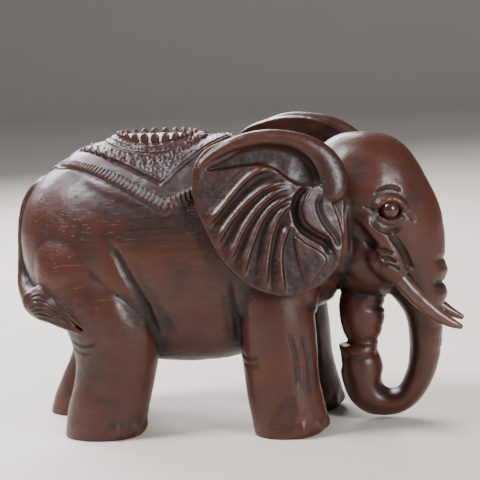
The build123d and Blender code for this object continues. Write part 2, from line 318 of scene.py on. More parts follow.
class Surface:
    """The points of a skin in millimetres, which strokes, patches and dabs move."""

    GIRTH_CENTRE = 59.4
    GIRTH_RADIUS = 33.0
    STEEP = 0.35

    def __init__(self, mesh: bpy.types.Mesh) -> None:
        """Reads a mesh's points.

        Args:
            mesh: The skin, in metres.
        """
        self.mesh = mesh
        self.points = self.read("vertices", "co") / MM
        self.normals = self.read("vertex_normals", "vector")

    def read(self, kind: str, field_name: str) -> np.ndarray:
        """One vector for each point of the mesh."""
        flat = np.empty(len(self.mesh.vertices) * 3)
        getattr(self.mesh, kind).foreach_get(field_name, flat)
        return flat.reshape(-1, 3)

    def write(self) -> None:
        """Puts the points back into the mesh and reads its new normals."""
        self.mesh.vertices.foreach_set("co", (self.points * MM).ravel())
        self.mesh.update()
        self.normals = self.read("vertex_normals", "vector")

    def box(self, low: Sequence[float], high: Sequence[float]) -> np.ndarray:
        """Which points lie in a box."""
        return np.all((self.points > low) & (self.points < high), axis=1)

    def refine(self, keep: np.ndarray) -> None:
        """Halves the cells of a region, for finer cuts.

        Args:
            keep: Which points lie in the region.
        """
        body = bmesh.new()
        body.from_mesh(self.mesh)
        inner = [edge for edge in body.edges if all(keep[vert.index] for vert in edge.verts)]
        bmesh.ops.subdivide_edges(body, edges=inner, cuts=1, use_grid_fill=True)
        body.to_mesh(self.mesh)
        body.free()
        self.mesh.update()
        self.points = self.read("vertices", "co") / MM
        self.normals = self.read("vertex_normals", "vector")

    def relax(self, rounds: int, keep: np.ndarray) -> None:
        """Smooths a region.

        Args:
            rounds: How many times its points move half way to the middle of their neighbours.
            keep: Which points lie in the region.
        """
        near = Neighbours(self.mesh)
        for _ in range(rounds):
            self.points[keep] = 0.5 * (self.points[keep] + near.middle(self.points)[keep])
        self.write()

    def flat(self, view: View) -> np.ndarray:
        """The points as a view sees them: X and the distance round the barrel for GIRTH."""
        if view is View.GIRTH:
            turn = np.arctan2(np.abs(self.points[:, 1]), self.points[:, 2] - self.GIRTH_CENTRE)
            return np.column_stack([self.points[:, 0], turn * self.GIRTH_RADIUS])
        return self.points[:, view.value[0]]

    def facing(self, view: View) -> np.ndarray:
        """How far each point faces the view, from 0 to 1."""
        if view is View.GIRTH:
            return np.ones(len(self.points))
        return smooth_step(0.05, 0.4, self.normals @ np.array(view.value[1]))

    @staticmethod
    def nearest(flat: np.ndarray, line: np.ndarray) -> tuple[np.ndarray, np.ndarray, np.ndarray]:
        """Distance of each point from a line, and where along it the nearest place is.

        Args:
            flat: Points in the line's plane.
            line: The line's own points.

        Returns:
            The distances, the shares of the line's length, and whether each point is on its left.
        """
        best = np.full(len(flat), np.inf)
        along = np.zeros(len(flat))
        left = np.zeros(len(flat), bool)
        runs = np.linalg.norm(np.diff(line, axis=0), axis=1)
        total, walked = runs.sum(), 0.0
        for start, end, run in zip(line, line[1:], runs):
            way = (end - start) / run
            offset = flat - start
            reach = np.clip(offset @ way, 0.0, run)
            away = np.linalg.norm(offset - reach[:, None] * way, axis=1)
            closer = away < best
            best[closer] = away[closer]
            along[closer] = (walked + reach[closer]) / total
            left[closer] = (way[0] * offset[closer, 1] - way[1] * offset[closer, 0]) > 0
            walked += run
        return best, along, left

    def picked(self, view: View, low: np.ndarray, high: np.ndarray, keep: np.ndarray | None) -> np.ndarray:
        """Indices of the points that a tool can reach in a box of the view."""
        flat = self.flat(view)
        near = np.all((flat > low) & (flat < high), axis=1) & (self.facing(view) > 0)
        return np.nonzero(near if keep is None else near & keep)[0]

    def lift(self, picked: np.ndarray, heights: np.ndarray) -> None:
        """Moves points out of the wood, or into it where a height is negative."""
        self.points[picked] += self.normals[picked] * heights[:, None]

    def stroke(self, view: View, strokes: Iterable[Stroke], keep: np.ndarray | None = None) -> None:
        """Cuts or raises lines, all from the skin as it was before the first.

        Args:
            view: The view that the lines are drawn in.
            strokes: The passes.
            keep: Where True, points may move; everywhere if None.
        """
        flat, facing = self.flat(view), self.facing(view)
        for one in strokes:
            line = smooth_line(one.line) if len(one.line) > 2 else np.array(one.line, float)
            margin = one.width
            near = np.all((flat > line.min(axis=0) - margin) & (flat < line.max(axis=0) + margin), axis=1)
            near &= facing > 0
            picked = np.nonzero(near if keep is None else near & keep)[0]
            away, along, left = self.nearest(flat[picked], line)
            steep = self.STEEP if one.edge is Edge.PLEAT else 1.0
            share = np.clip(1.0 - away / (one.width * np.where(left, steep, 1.0)), 0.0, 1.0)
            if one.edge is Edge.ROUND:
                share = smooth_step(0.0, 1.0, share)
            if one.fade > 0:
                share *= smooth_step(0.0, one.fade, along) * smooth_step(0.0, one.fade, 1.0 - along)
            self.lift(picked, one.height * share * facing[picked])
        self.write()

    @staticmethod
    def inside(flat: np.ndarray, outline: np.ndarray) -> np.ndarray:
        """Whether each point is inside a closed outline."""
        odd = np.zeros(len(flat), bool)
        for (x0, y0), (x1, y1) in zip(outline, np.roll(outline, -1, axis=0)):
            spans = (y0 > flat[:, 1]) != (y1 > flat[:, 1])
            rise = y1 - y0 if y1 != y0 else 1e-9
            crossing = x0 + (flat[:, 1] - y0) * (x1 - x0) / rise
            odd ^= spans & (flat[:, 0] < crossing)
        return odd

    def patch(self, view: View, patches: Iterable[Patch], keep: np.ndarray | None = None) -> None:
        """Raises or sinks whole areas.

        Args:
            view: The view that the outlines are drawn in.
            patches: The areas.
            keep: Where True, points may move; everywhere if None.
        """
        facing = self.facing(view)
        for one in patches:
            outline = smooth_line(one.outline, closed=True)
            picked = self.picked(view, outline.min(axis=0) - one.soft, outline.max(axis=0) + one.soft, keep)
            flat = self.flat(view)[picked]
            away, _, _ = self.nearest(flat, np.vstack([outline, outline[:1]]))
            away[~self.inside(flat, outline)] *= -1.0
            self.lift(picked, one.height * smooth_step(-one.soft, one.soft, away) * facing[picked])
        self.write()

    def stipple(self, view: View, outline: Flat, pitch: float, size: float, height: float, seed: int) -> None:
        """Pricks a field all over with small raised grains.

        Args:
            view: The view that the field is drawn in.
            outline: The field's edge.
            pitch: About how far the grains are apart.
            size: Radius of a grain.
            height: How far it stands up.
            seed: Seed of the grains' places.
        """
        border = smooth_line(outline, closed=True)
        low = border.min(axis=0)
        picked = self.picked(view, low, border.max(axis=0), None)
        picked = picked[self.inside(self.flat(view)[picked], border)]
        spots = (self.flat(view)[picked] - low) / pitch
        cells = np.floor(spots).astype(int)
        shifts = np.random.default_rng(seed).uniform(0.2, 0.8, (*(cells.max(axis=0) + 3), 2))
        best = np.full(len(picked), np.inf)
        for step in ((dx, dy) for dx in (-1, 0, 1) for dy in (-1, 0, 1)):
            cell = cells + step
            centre = cell + shifts[cell[:, 0] + 1, cell[:, 1] + 1]
            best = np.minimum(best, np.linalg.norm(spots - centre, axis=1))
        self.lift(picked, height * (1.0 - smooth_step(0.0, 1.0, best * pitch / size)))
        self.write()

    def dab(self, dabs: Iterable[Dab]) -> None:
        """Swells or hollows the skin about points."""
        for one in dabs:
            away = np.linalg.norm((self.points - one.centre) / one.radii, axis=1)
            picked = np.nonzero(away < 1.0)[0]
            self.lift(picked, one.height * (1.0 - away[picked] ** 2) ** 2)
        self.write()

    def tool(self, size: float, height: float, seed: float = 0.0) -> None:
        """Leaves the unevenness of hand work.

        Args:
            size: Size of the marks in millimetres.
            height: Their height.
            seed: Moves the pattern.
        """
        marks = np.array(
            [noise.noise(Vector(point) / size + Vector((seed, seed, seed))) for point in self.points]
        )
        self.points += self.normals * (height * marks)[:, None]
        self.write()


def mark_crevices(mesh: bpy.types.Mesh, painted_shades: Iterable[Dab] = ()) -> None:
    """Stores how deep in a hollow each point lies, from 0 on an edge to 1 in a cut, for painted shade and
    patina.

    Args:
        mesh: A finished mesh, in metres. It gets the attribute that the wood reads.
        painted_shades: Places painted darker still, as painted shadow, by their height.
    """
    surface, near = Surface(mesh), Neighbours(mesh)
    eased = surface.points.copy()
    depth = np.zeros(len(eased))
    for level in range(1, 41):
        eased = near.middle(eased)
        if level in (3, 12, 40):
            depth += np.einsum("ij,ij->i", eased - surface.points, surface.normals) / math.sqrt(level)
    for _ in range(2):
        depth = 0.5 * (depth + near.mean(depth))
    # Patina and painted shade: the deeper the hollow, the darker the wood paints it.
    shade = 0.35 + 2.2 * depth
    # Painted shadow: spots such as the recess inside the trunk's loop are painted darker still.
    for shade_spot in painted_shades:
        away = np.linalg.norm((surface.points - shade_spot.centre) / shade_spot.radii, axis=1)
        shade += shade_spot.height * np.clip(1.0 - away**2, 0.0, 1.0)
    store = mesh.attributes.new("crevice", "FLOAT", "POINT")
    store.data.foreach_set("value", np.clip(shade, 0.0, 1.0).astype(np.float32))


class Value:
    """A shader number: a socket whose arithmetic adds Math nodes."""

    def __init__(self, tree: bpy.types.NodeTree, source: bpy.types.NodeSocket) -> None:
        """Wraps an output socket."""
        self.tree = tree
        self.source = source

    def _math(self, operation: str, first: Any, second: Any) -> Value:
        """Adds a Math node on two numbers or values."""
        made = self.tree.nodes.new("ShaderNodeMath")
        made.operation = operation
        for place, item in zip(made.inputs, (first, second)):
            if isinstance(item, Value):
                self.tree.links.new(item.source, place)
            else:
                place.default_value = item
        return Value(self.tree, made.outputs[0])

    def __add__(self, other: Any) -> Value:
        """Sum."""
        return self._math("ADD", self, other)

    __radd__ = __add__

    def __sub__(self, other: Any) -> Value:
        """Difference."""
        return self._math("SUBTRACT", self, other)

    def __rsub__(self, other: Any) -> Value:
        """Difference from a number."""
        return self._math("SUBTRACT", other, self)

    def __mul__(self, other: Any) -> Value:
        """Product."""
        return self._math("MULTIPLY", self, other)

    __rmul__ = __mul__

    def ramp(self, low: float, high: float) -> Value:
        """Soft ramp from 0 at low to 1 at high."""
        made = self.tree.nodes.new("ShaderNodeMapRange")
        made.interpolation_type = "SMOOTHSTEP"
        made.inputs["From Min"].default_value = low
        made.inputs["From Max"].default_value = high
        self.tree.links.new(self.source, made.inputs["Value"])
        return Value(self.tree, made.outputs["Result"])


class Shader:
    """A material under construction."""

    def __init__(self, name: str) -> None:
        """Starts an empty node tree with a Principled surface."""
        self.material = bpy.data.materials.new(name)
        self.material.use_nodes = True
        self.tree = self.material.node_tree
        self.surface = self.tree.nodes["Principled BSDF"]

    def node(self, kind: str, settings: dict[str, Any], **inputs: Any) -> bpy.types.Node:
        """Adds a node.

        Args:
            kind: The node's type.
            settings: Its own settings, such as an operation, which are set first.
            inputs: Values or links of its sockets, with spaces written as underscores.

        Returns:
            The node.
        """
        made = self.tree.nodes.new(kind)
        for key, item in settings.items():
            setattr(made, key, item)
        for key, item in inputs.items():
            place = made.inputs[key.replace("_", " ")]
            self.feed(place, item)
        return made

    def feed(self, place: bpy.types.NodeSocket, item: Any) -> None:
        """Links or sets one input socket."""
        if isinstance(item, Value):
            self.tree.links.new(item.source, place)
        elif isinstance(item, bpy.types.NodeSocket):
            self.tree.links.new(item, place)
        else:
            place.default_value = item

    def value(self, source: bpy.types.NodeSocket) -> Value:
        """Wraps a socket for arithmetic."""
        return Value(self.tree, source)

    def mix(self, share: Any, first: Any, second: Any) -> bpy.types.NodeSocket:
        """Mixes two colours.

        Args:
            share: How much of the second.
            first: A colour or a socket.
            second: A colour or a socket.

        Returns:
            The mixed colour's socket.
        """
        made = self.tree.nodes.new("ShaderNodeMix")
        made.data_type = "RGBA"
        self.feed(made.inputs["Factor"], share)
        for place, item in ((made.inputs["A"], first), (made.inputs["B"], second)):
            self.feed(place, (*item, 1.0) if isinstance(item, tuple) else item)
        return made.outputs["Result"]

    def grain(
        self, stretch: tuple[float, float, float], scale: float, detail: float, roughness: float
    ) -> Value:
        """Noise on the piece's own coordinates.

        Args:
            stretch: Scale along each axis, under 1 where the pattern runs long.
            scale: Marks to the metre.
            detail: Octaves.
            roughness: Strength of the finer octaves.

        Returns:
            The noise, about 0 to 1.
        """
        place = self.node("ShaderNodeTexCoord", {})
        turned = self.node("ShaderNodeMapping", {}, Vector=place.outputs["Object"], Scale=stretch)
        made = self.node(
            "ShaderNodeTexNoise", {}, Vector=turned.outputs[
                0
            ], Scale=scale, Detail=detail, Roughness=roughness
        )
        return self.value(made.outputs[0])


@dataclass(frozen=True)
class Hardwood:
    """Dark, close-grained wood, waxed to a soft gloss."""

    name: str = "dark_hardwood"
    dark: Colour = (0.0085, 0.0030, 0.0024)
    middle: Colour = (0.036, 0.0108, 0.0060)
    red: Colour = (0.074, 0.0180, 0.0082)
    # Colour of the pores, and of the patina and painted shade in the hollows.
    pore_patina_and_shade: Colour = (0.0065, 0.0024, 0.0018)
    along: tuple[float, float, float] = (0.10, 1.0, 1.0)
    gloss: float = 0.39
    relief: float = 1.0
    wax: float = 0.12

    def make(self) -> bpy.types.Material:
        """Builds the material.

        Returns:
            Wood whose grain runs along its own long axis, darker (patina and painted shade) and duller in the
            hollows.
        """
        shader = Shader(self.name)
        streak = shader.grain(self.along, 620.0, 5.0, 0.6)
        figure = shader.grain((0.35, 1.0, 1.0), 34.0, 3.0, 0.5)
        pore = shader.grain((0.07, 1.0, 1.0), 1500.0, 2.0, 0.5).ramp(0.60, 0.72)
        grit = shader.grain((1.0, 1.0, 1.0), 1900.0, 3.0, 0.65)
        facet = shader.grain((0.6, 1.0, 1.0), 210.0, 2.0, 0.5)
        crevice = shader.value(
            shader.node("ShaderNodeAttribute", {"attribute_name": "crevice"}).outputs["Fac"]
        )

        base = shader.mix(streak.ramp(0.25, 0.78), self.dark, self.middle)
        base = shader.mix(figure.ramp(0.45, 0.75) * 0.7, base, self.red)
        base = shader.mix(pore * 0.55, base, self.pore_patina_and_shade)
        base = shader.mix(grit.ramp(0.58, 0.80) * 0.35, base, self.middle)
        # Patina and painted shade: the hollows, and the painted shadow in the trunk's loop, are darkened
        # towards the pore colour.
        hollow = crevice.ramp(0.42, 0.95)
        base = shader.mix(hollow * 0.75, base, self.pore_patina_and_shade)
        worn = (1.0 - crevice).ramp(0.72, 1.0)
        base = shader.mix(worn * 0.45, base, self.red)
        shader.feed(shader.surface.inputs["Base Color"], base)

        dull = self.gloss + grit.ramp(0.3, 0.8) * 0.16 + hollow * 0.3 + pore * 0.15 - worn * 0.06
        shader.feed(shader.surface.inputs["Roughness"], dull)
        shader.surface.inputs["IOR"].default_value = 1.42
        shader.surface.inputs["Coat Weight"].default_value = self.wax
        shader.surface.inputs["Coat Roughness"].default_value = 0.28

        height = grit * 0.35 + streak * 0.25 + facet * 1.1 - pore * 0.5
        bump = shader.node(
            "ShaderNodeBump", {}, Height=height, Strength=0.55 * self.relief, Distance=0.00022
        )
        shader.feed(shader.surface.inputs["Normal"], bump.outputs[0])
        return shader.material


@dataclass(frozen=True)
class PlainFloor:
    """Pale matt board under the elephant."""

    colour: Colour = (0.60, 0.53, 0.45)

    def make(self) -> bpy.types.Material:
        """Builds the material."""
        shader = Shader("pale_floor")
        cloud = shader.grain((1.0, 1.0, 1.0), 9.0, 2.0, 0.5)
        shade = shader.mix(cloud * 0.12, self.colour, tuple(0.85 * part for part in self.colour))
        shader.feed(shader.surface.inputs["Base Color"], shade)
        shader.surface.inputs["Roughness"].default_value = 0.8
        return shader.material


class Finishes:
    """The materials, made once each."""

    def __init__(self) -> None:
        """Builds every finish."""
        self.block = Hardwood().make()
        self.ear = Hardwood(name="ear_hardwood", along=(0.35, 1.0, 0.5), gloss=0.35).make()
        self.tusk = Hardwood(
            name="tusk_wood",
            dark=(0.034, 0.0135, 0.0092),
            middle=(0.105, 0.044, 0.028),
            red=(0.13, 0.049, 0.028),
            along=(0.25, 1.0, 0.3),
            gloss=0.30,
            relief=0.5,
            wax=0.4,
        ).make()
        self.eye = Hardwood(
            name="eye_bead", dark=(
                0.005, 0.0025, 0.002
            ), middle=(0.016, 0.006, 0.0045), gloss=0.16, relief=0.2, wax=0.6
        ).make()


@dataclass
class Piece:
    """Base of every piece: how its mesh becomes a part of the model."""

    def place(
        self,
        mesh: bpy.types.Mesh,
        wood: bpy.types.Material,
        slot: str,
        node: str,
        painted_shades: Iterable[Dab] = (),
    ) -> None:
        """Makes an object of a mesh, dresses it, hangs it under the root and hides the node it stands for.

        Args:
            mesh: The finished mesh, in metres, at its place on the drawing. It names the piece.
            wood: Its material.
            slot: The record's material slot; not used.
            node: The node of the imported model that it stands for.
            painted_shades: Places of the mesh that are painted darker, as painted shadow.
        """
        for face in mesh.polygons:
            face.use_smooth = True
        mark_crevices(mesh, painted_shades)
        mesh.transform(Matrix.Translation((drift() * MM, 0.0, 0.0)))
        mesh.materials.clear()
        mesh.materials.append(wood)
        made = bpy.data.objects.new(mesh.name, mesh)
        bpy.context.scene.collection.objects.link(made)
        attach(made, "root")
        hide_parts(node)
        LOG.info("%s: %d faces", made.name, len(mesh.polygons))


def thin_out(mesh: bpy.types.Mesh, most: int) -> bpy.types.Mesh:
    """Keeps a mesh under a number of triangles, with the finest ones where it bends most.

    Args:
        mesh: The mesh, which is removed if it is thinned.
        most: The number of triangles to stay under.

    Returns:
        The mesh to use.
    """
    mesh.calc_loop_triangles()
    count = len(mesh.loop_triangles)
    if count <= most:
        return mesh
    carrier = bpy.data.objects.new("thinning", mesh)
    bpy.context.scene.collection.objects.link(carrier)
    fewer = carrier.modifiers.new("fewer", "DECIMATE")
    fewer.ratio = most / count
    seen = carrier.evaluated_get(bpy.context.evaluated_depsgraph_get())
    result = bpy.data.meshes.new_from_object(seen)
    result.name = mesh.name
    bpy.data.objects.remove(carrier)
    bpy.data.meshes.remove(mesh)
    return result


@dataclass
class Block(Piece):
    """Torso, legs, head, trunk and tail, all carved from one piece."""

    voxel: float = 0.6
    soften: int = 5
    triangles: int = 192000
    seat: tuple[float, float, float] = (-23.0, 18.5, 16.0)
    seat_reach: float = 19.0
    back_height: float = 97.3
    back_curve: float = 42.0

    def build(self, wood: bpy.types.Material) -> None:
        """Builds, carves and dresses the block."""
        clay = Clay()
        clay.node("carved_body")
        self.add_masses(clay)
        self.add_tuft(clay)
        surface = Surface(clay.skin("carved_block", self.voxel, self.soften))
        self.refine_fine_work(surface)
        self.shape_forms(surface)
        self.carve_head(surface)
        self.carve_trunk(surface)
        self.carve_legs(surface)
        self.carve_tail(surface)
        surface.tool(6.0, 0.2)
        surface.tool(2.0, 0.07, seed=5.0)
        SaddleCloth().carve(surface)
        surface.points[:, 2] = np.maximum(surface.points[:, 2], 0.0)
        surface.write()
        # Painted shadow: the recess inside the loop of the trunk is painted darker.
        painted_shades = [Dab((52.8, 0.0, 27.5), (6.5, 5.0, 17.0), 0.9)]
        self.place(thin_out(surface.mesh, self.triangles), wood, "dark_hardwood", "carved_body", painted_shades)

    def add_masses(self, clay: Clay) -> None:
        """Adds the swellings that the plain block lacks."""
        for side in Side:
            out = side.value
            clay.ball((-49.0, out * 15.5, 53.0), (15.5, 12.0, 20.0), tilt=-20.0)
            clay.ball((16.0, out * 15.0, 50.0), (14.0, 11.5, 20.0))
            clay.ball((46.5, out * 8.5, 77.0), (13.0, 8.8, 13.0))
            cheek = (
                (
                    43.0, 15.6, 71.4, 1.8
                ), (46.6, 15.9, 69.0, 2.8), (50.0, 15.6, 65.4, 3.5), (52.4, 15.0, 60.8, 3.9),
                (54.2, 14.4, 56.0, 4.1), (55.9, 14.0, 51.8, 3.9),
            )  # fmt: skip
            line = smooth_line([(x, out * y, z, radius) for x, y, z, radius in cheek], steps=4)
            clay.chain(
                Oval((x, y, z), (dx, 0.0, dz), (0.0, 1.0, 0.0), radius, radius)
                for (x, y, z, radius), (dx, dz) in zip(line, np.gradient(line[:, (0, 2)], axis=0))
            )

    @staticmethod
    def add_tuft(clay: Clay) -> None:
        """Adds the bulb and the leaf-shaped tip of the tail's tuft, on the right thigh."""
        clay.ball((-61.4, -21.8, 45.4), (7.4, 5.2, 5.6), tilt=24.0)
        leaf = (
            (-61.5, -22.5, 44.8, 5.0, 4.0), (-57.0, -24.6, 43.4, 4.6, 3.4), (-52.6, -26.2, 40.8, 3.6, 2.7),
            (-48.6, -26.9, 38.2, 2.3, 2.0), (-45.4, -27.0, 36.2, 0.8, 1.2),
        )  # fmt: skip
        line = smooth_line(leaf, steps=4)
        clay.chain(
            Oval((x, y, z), (dx, dy, dz), (0.0, 1.0, 0.0), across, deep)
            for (x, y, z, across, deep), (dx, dy, dz) in zip(line, np.gradient(line[:, :3], axis=0))
        )

    def refine_fine_work(self, surface: Surface) -> None:
        """Smooths the places of the fine work, levels the seat for the crown, and refines their cells."""
        saddle = surface.box((-62.0, -40.0, 66.0), (14.0, 40.0, 120.0))
        surface.relax(14, saddle)
        self.level_seat(surface, saddle)
        surface.refine(self.fine_work(surface))
        surface.relax(2, self.fine_work(surface))

    def level_seat(self, surface: Surface, saddle: np.ndarray) -> None:
        """Takes the seat down to the back's own curve, where the lotus crown stands instead.

        Args:
            surface: The block's skin.
            saddle: Which of its points belong to the back.
        """
        x, y, z = surface.points.T
        middle_x, half_length, half_width = self.seat
        pad = saddle & (((x - middle_x) / half_length) ** 2 + (y / half_width) ** 2 < 1.0)
        surface.points[pad, 2] = np.minimum(z[pad], self.back_height - y[pad] ** 2 / self.back_curve)
        surface.write()
        surface.relax(12, saddle & (np.abs(y) < self.seat_reach))

    def fine_work(self, surface: Surface) -> np.ndarray:
        """Which points lie where the carving is fine."""
        boxes = (
            ((-62.0, -40.0, 64.0), (14.0, 40.0, 120.0)),
            ((42.0, -30.0, 47.0), (62.0, -8.0, 84.0)),
            ((42.0, 8.0, 47.0), (62.0, 30.0, 84.0)),
            ((-75.0, -30.0, 33.0), (-42.0, -10.0, 52.0)),
        )
        return np.any([surface.box(low, high) for low, high in boxes], axis=0)

    def shape_forms(self, surface: Surface) -> None:
        """Works the large forms: thigh, shoulder, temples and cheeks."""
        facet = (
            (
                -38.9, 68.7
            ), (-37.9, 60.0), (-35.2, 50.7), (-32.2, 42.5), (-28.4, 38.6), (-26.3, 43.3), (-29.4, 51.2),
            (-33.6, 60.4),
        )  # fmt: skip
        for side in Side:
            out = side.value
            view = SIDE_VIEWS[side]
            surface.dab([Dab((-35.0, out * 28.0, 50.0), (10.0, 12.0, 22.0), 1.3)])
            surface.patch(view, [Patch(facet, -0.45, 2.4)])
            surface.stroke(
                view,
                [
                    Stroke(
                        [(-38.2, 69.0), (-34.0, 60.5), (-29.0, 50.0), (-25.6, 41.0), (-23.6, 31.0)], 2.2, -1.1
                    ),
                    Stroke(
                        [(-35.5, 66.0), (-30.4, 57.0), (-25.2, 47.0), (-21.6, 38.0), (-20.4, 30.0)], 6.0, -0.9
                    ),
                    Stroke([(2.4, 56.0), (2.6, 46.0), (3.0, 36.0), (3.4, 26.0)], 1.6, -1.0, Edge.VEE, 0.3),
                    Stroke([(0.6, 52.0), (0.8, 42.0), (1.2, 30.0)], 4.0, -0.8, fade=0.3),
                    Stroke([(31.0, 60.0), (34.0, 52.0), (38.0, 47.0)], 3.0, -1.0),
                ],
            )
            surface.dab(
                [
                    Dab((44.0, out * 15.0, 86.0), (8.0, 9.0, 8.0), -0.9),
                    Dab((62.0, out * 9.0, 76.0), (6.0, 8.0, 9.0), -0.8),
                    Dab((46.6, out * 19.0, 60.0), (5.0, 7.0, 6.0), -0.8),
                ]
            )

    def carve_head(self, surface: Surface) -> None:
        """Cuts the eyelids, the cheek ridge and the wrinkled sheaths of the tusks."""
        for side in Side:
            out = side.value
            view = SIDE_VIEWS[side]
            surface.dab([Dab((53.6, out * 17.0, 73.2), (7.5, 9.0, 6.5), -1.5)])
            surface.stroke(
                view,
                [
                    Stroke([(48.6, 72.6), (50.2, 75.6), (53.4, 77.0), (56.6, 75.8), (59.0, 72.0)], 1.9, 2.2),
                    Stroke([(49.4, 71.6), (51.4, 69.6), (53.8, 69.0), (56.4, 69.8), (58.2, 71.6)], 1.4, 1.3),
                ],
            )
            surface.stroke(
                view,
                [
                    Stroke([(48.4, 78.0), (51.2, 80.0), (54.4, 80.4), (57.8, 78.8)], 0.8, -0.8, Edge.VEE),
                    Stroke([(44.8, 74.8), (46.8, 73.8), (48.8, 73.0)], 0.8, -0.6, Edge.VEE),
                    Stroke([(58.8, 71.6), (60.4, 70.2), (61.6, 68.4)], 0.8, -0.5, Edge.VEE),
                    Stroke([(47.0, 70.6), (49.8, 67.6), (54.0, 66.0), (57.6, 67.4)], 1.1, -1.0, Edge.VEE),
                    Stroke(
                        [(53.6, 65.4), (56.6, 60.9), (58.6, 56.4), (60.0, 52.4)], 1.2, -1.2, Edge.VEE, 0.1
                    ),
                    Stroke([(41.6, 68.0), (44.8, 65.4), (47.4, 61.4), (49.2, 56.6), (51.0, 51.6)], 2.4, -0.8),
                ],
            )
            surface.stroke(
                view,
                [
                    Stroke([(49.0, 60.2), (51.6, 60.4), (54.6, 59.0)], 0.7, -0.8, Edge.VEE, 0.15),
                    Stroke([(49.6, 57.7), (52.4, 57.8), (55.4, 56.2)], 0.7, -0.8, Edge.VEE, 0.15),
                    Stroke([(50.8, 55.2), (53.4, 55.2), (56.4, 53.6)], 0.7, -0.7, Edge.VEE, 0.15),
                    Stroke([(49.2, 58.9), (51.9, 59.1), (54.9, 57.6)], 0.7, 0.4, Edge.ROUND, 0.15),
                    Stroke([(50.1, 56.4), (52.9, 56.5), (55.8, 54.9)], 0.7, 0.4, Edge.ROUND, 0.15),
                ],
            )

    def carve_trunk(self, surface: Surface) -> None:
        """Cuts the folds across the trunk and the rim at its tip."""
        folds = [
            Stroke([(-9.0, 55.4), (0.0, 54.4), (9.0, 55.4)], 1.6, -0.6),
            Stroke([(-9.0, 51.4), (0.0, 50.3), (9.0, 51.4)], 2.6, 0.7),
            Stroke([(-9.0, 47.6), (0.0, 46.2), (9.0, 47.6)], 1.5, -1.3),
            Stroke([(-9.0, 43.6), (0.0, 42.4), (9.0, 43.6)], 2.8, 0.7),
            Stroke([(-9.0, 39.4), (0.0, 38.4), (9.0, 39.4)], 1.6, -0.8),
        ]
        folds += [
            Stroke([(-8.0, z + 0.8), (0.0, z), (8.0, z + 0.8)], 1.0, -0.3) for z in (36.0, 32.0, 28.0, 24.0)
        ]
        surface.stroke(View.FRONT, folds)
        surface.relax(8, surface.box((30.0, -14.0, 19.0), (51.0, 14.0, 28.5)))
        lip = surface.points[:, 0] < 50.5
        for view in (View.RIGHT, View.LEFT):
            surface.stroke(
                view,
                [
                    Stroke(
                        [(33.0, 25.6), (37.0, 24.4), (42.0, 24.0), (46.0, 24.4), (50.0, 25.6)], 1.3, 0.5,
                        fade=0.0
                    ),
                    Stroke(
                        [(33.0, 23.2), (37.0, 22.0), (42.0, 21.6), (46.0, 22.0), (50.0, 23.2)], 0.9, -0.4,
                        fade=0.0
                    ),
                ],
                keep=lip,
            )

    def carve_legs(self, surface: Surface) -> None:
        """Cuts toenails, knee wrinkles and the folds of the front legs."""
        for side in Side:
            surface.stroke(
                SIDE_VIEWS[side],
                [
                    Stroke([(-53.0, 33.6), (-48.0, 32.2), (-42.0, 33.4)], 0.9, -0.4),
                    Stroke([(-52.6, 30.8), (-48.0, 29.6), (-44.0, 30.2)], 0.9, -0.35),
                    Stroke([(3.0, 28.0), (6.0, 26.6), (10.5, 27.0)], 0.9, -0.5),
                    Stroke([(3.4, 25.2), (7.0, 24.0), (11.0, 24.8)], 0.9, -0.45),
                    Stroke([(20.4, 36.0), (22.4, 27.0), (22.8, 16.0)], 1.0, -0.6, Edge.VEE),
                    Stroke([(24.4, 35.0), (26.0, 26.0), (26.6, 15.0)], 0.9, -0.5, Edge.VEE),
                ],
            )
            surface.patch(
                SIDE_VIEWS[side],
                [
                    Patch(
                        [(13.0, 3.5), (15.0, 9.5), (18.6, 14.0), (21.4, 14.0), (21.6, 8.0), (20.0, 3.0)],
                        -0.5, 0.6
                    )
                ],
            )
        soles = ((18.9, -17.5), (21.3, 17.5), (-43.4, -17.5), (-56.4, 17.5))
        reach = ((12.4, 11.2), (12.4, 11.2), (13.4, 11.6), (13.4, 11.6))
        for (x, y), (long, wide) in zip(soles, reach):
            nails = []
            for turn in (-66.0, -33.0, 0.0, 33.0, 66.0):
                angle = math.radians(turn)
                nails.append(
                    Dab((x + long * math.cos(angle), y + wide * math.sin(angle), 3.0), (2.6, 2.6, 3.6), 0.9)
                )
            surface.dab(nails)

    def carve_tail(self, surface: Surface) -> None:
        """Cuts hair into the tuft and facets down the rope."""
        hair = []
        for step in range(7):
            rise = -4.6 + 1.5 * step
            crown = [
                (-68.2, 43.0 + 0.8 * rise), (-62.5, 46.0 + rise), (-56.5, 43.6 + 0.75 * rise), (-46.6, 36.6)
            ]
            hair.append(Stroke(crown, 0.8, -0.6, Edge.VEE, 0.08))
        surface.stroke(View.RIGHT, hair)
        strands = [
            Stroke([(y, 80.0), (y * 0.9, 65.0), (y - 1.0, 50.0)], 0.8, -0.5, Edge.VEE) for y in (-1.3, 1.3)
        ]
        surface.stroke(View.BACK, strands)


